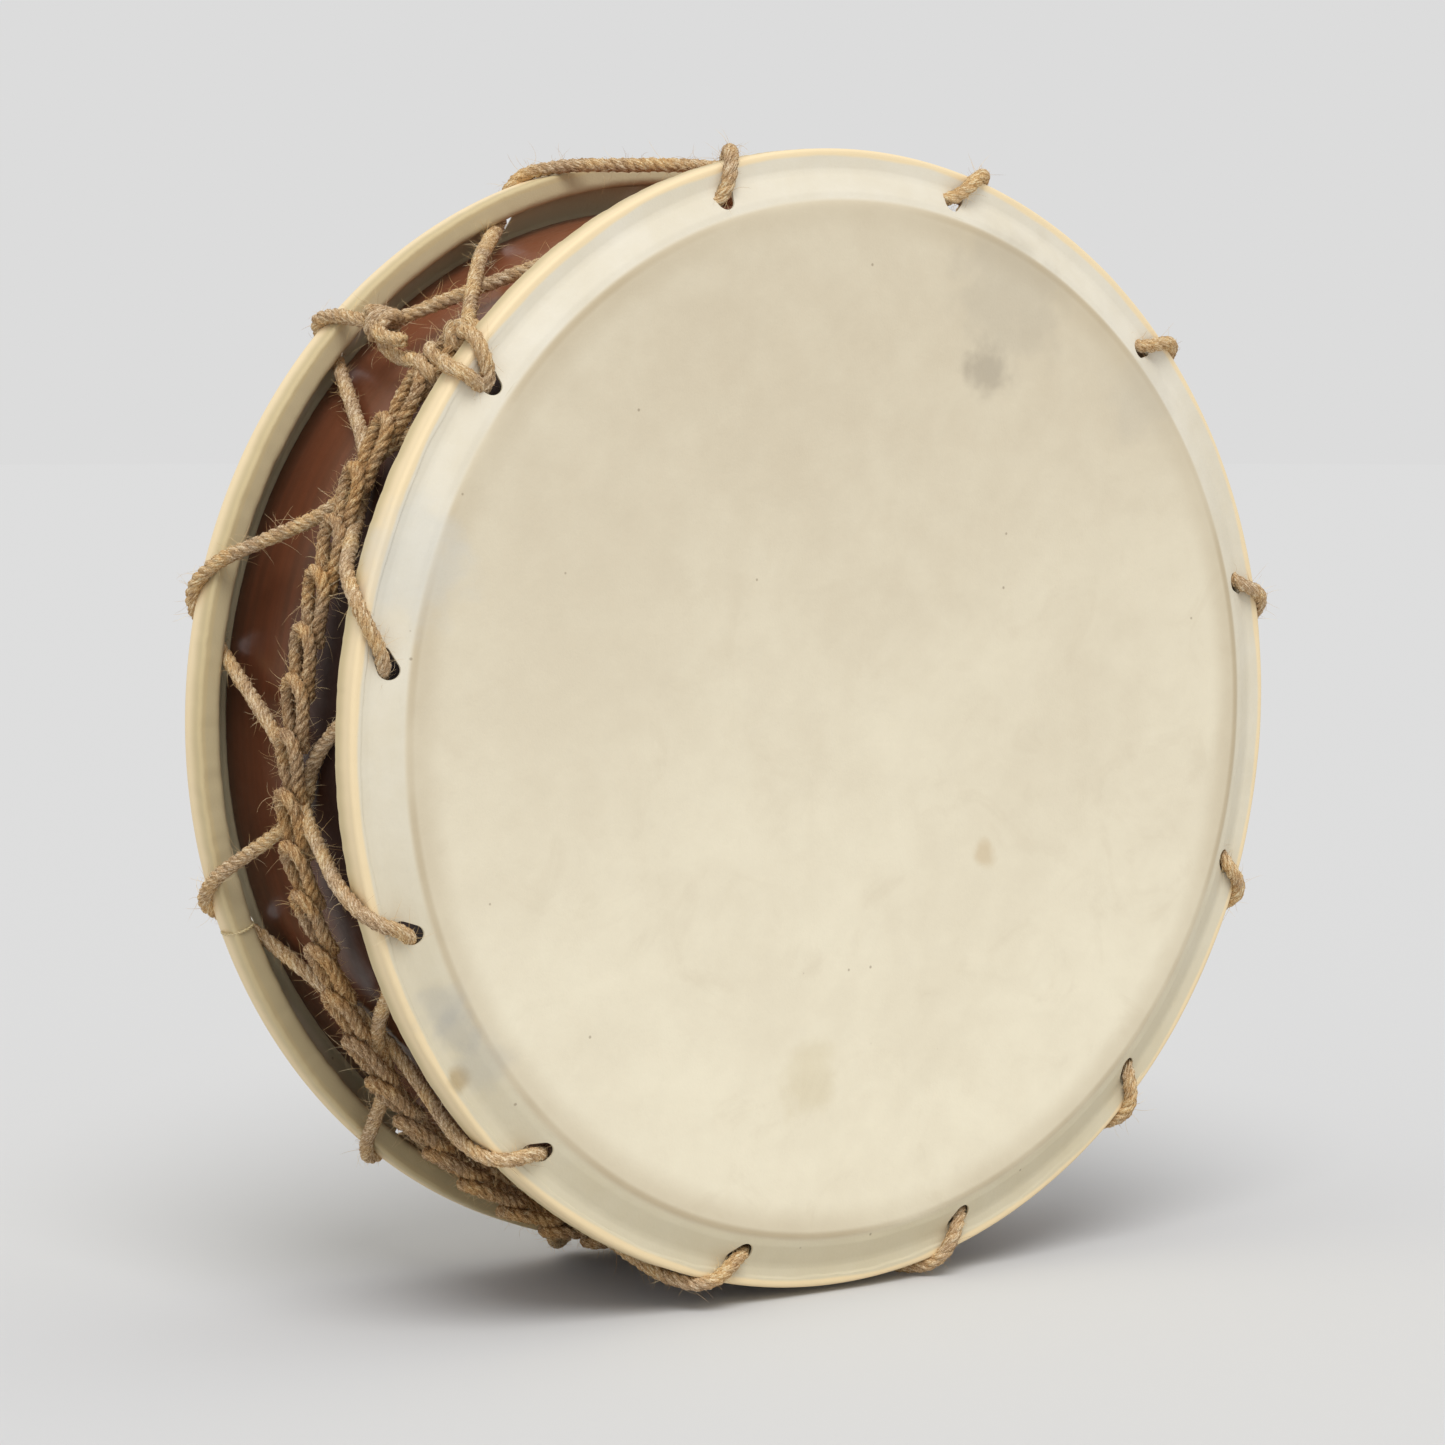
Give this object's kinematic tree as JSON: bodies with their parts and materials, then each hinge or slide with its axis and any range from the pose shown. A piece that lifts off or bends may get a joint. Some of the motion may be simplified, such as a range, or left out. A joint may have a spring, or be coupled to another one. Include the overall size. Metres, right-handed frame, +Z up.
{
  "type": "rope-tensioned frame drum",
  "caption": "Shallow two-headed wooden frame drum with skins lapped on bent hoops, drawn together by zigzag rope lacing and a chain-plaited rope round the shell.",
  "frame": {"origin": "centre of the box's bottom face, on the ground under the middle of the drum, which stands on its rim", "axes": "+Z up; the drum's axis runs along Y; the front head, with the start of the chain plait at its upper left, faces -Y; +X to the right seen from the front"},
  "size_m": [0.4499, 0.1376, 0.45],
  "materials": {
    "shell_wood": "glossy red-brown lacquer over bent wood",
    "inner_wood": "bare sanded wood",
    "skin": "matte cream rawhide with faint mottling",
    "rope": "hairy three-strand jute",
    "thread": "thin waxed linen thread"
  },
  "bodies": {
    "root": {"shell": "shell_wood", "front_inner_ring": "inner_wood", "rear_inner_ring": "inner_wood", "front_flesh_hoop": "inner_wood", "rear_flesh_hoop": "inner_wood", "front_skin": "skin", "rear_skin": "skin", "lacing_rope_a": "rope", "lacing_rope_b": "rope", "chain_plait": "rope", "front_knot": "rope", "rear_knot": "rope", "cut_end": "rope", "tie_cord": "rope", "rear_hoop_thread": "thread"}
  },
  "joints": []
}
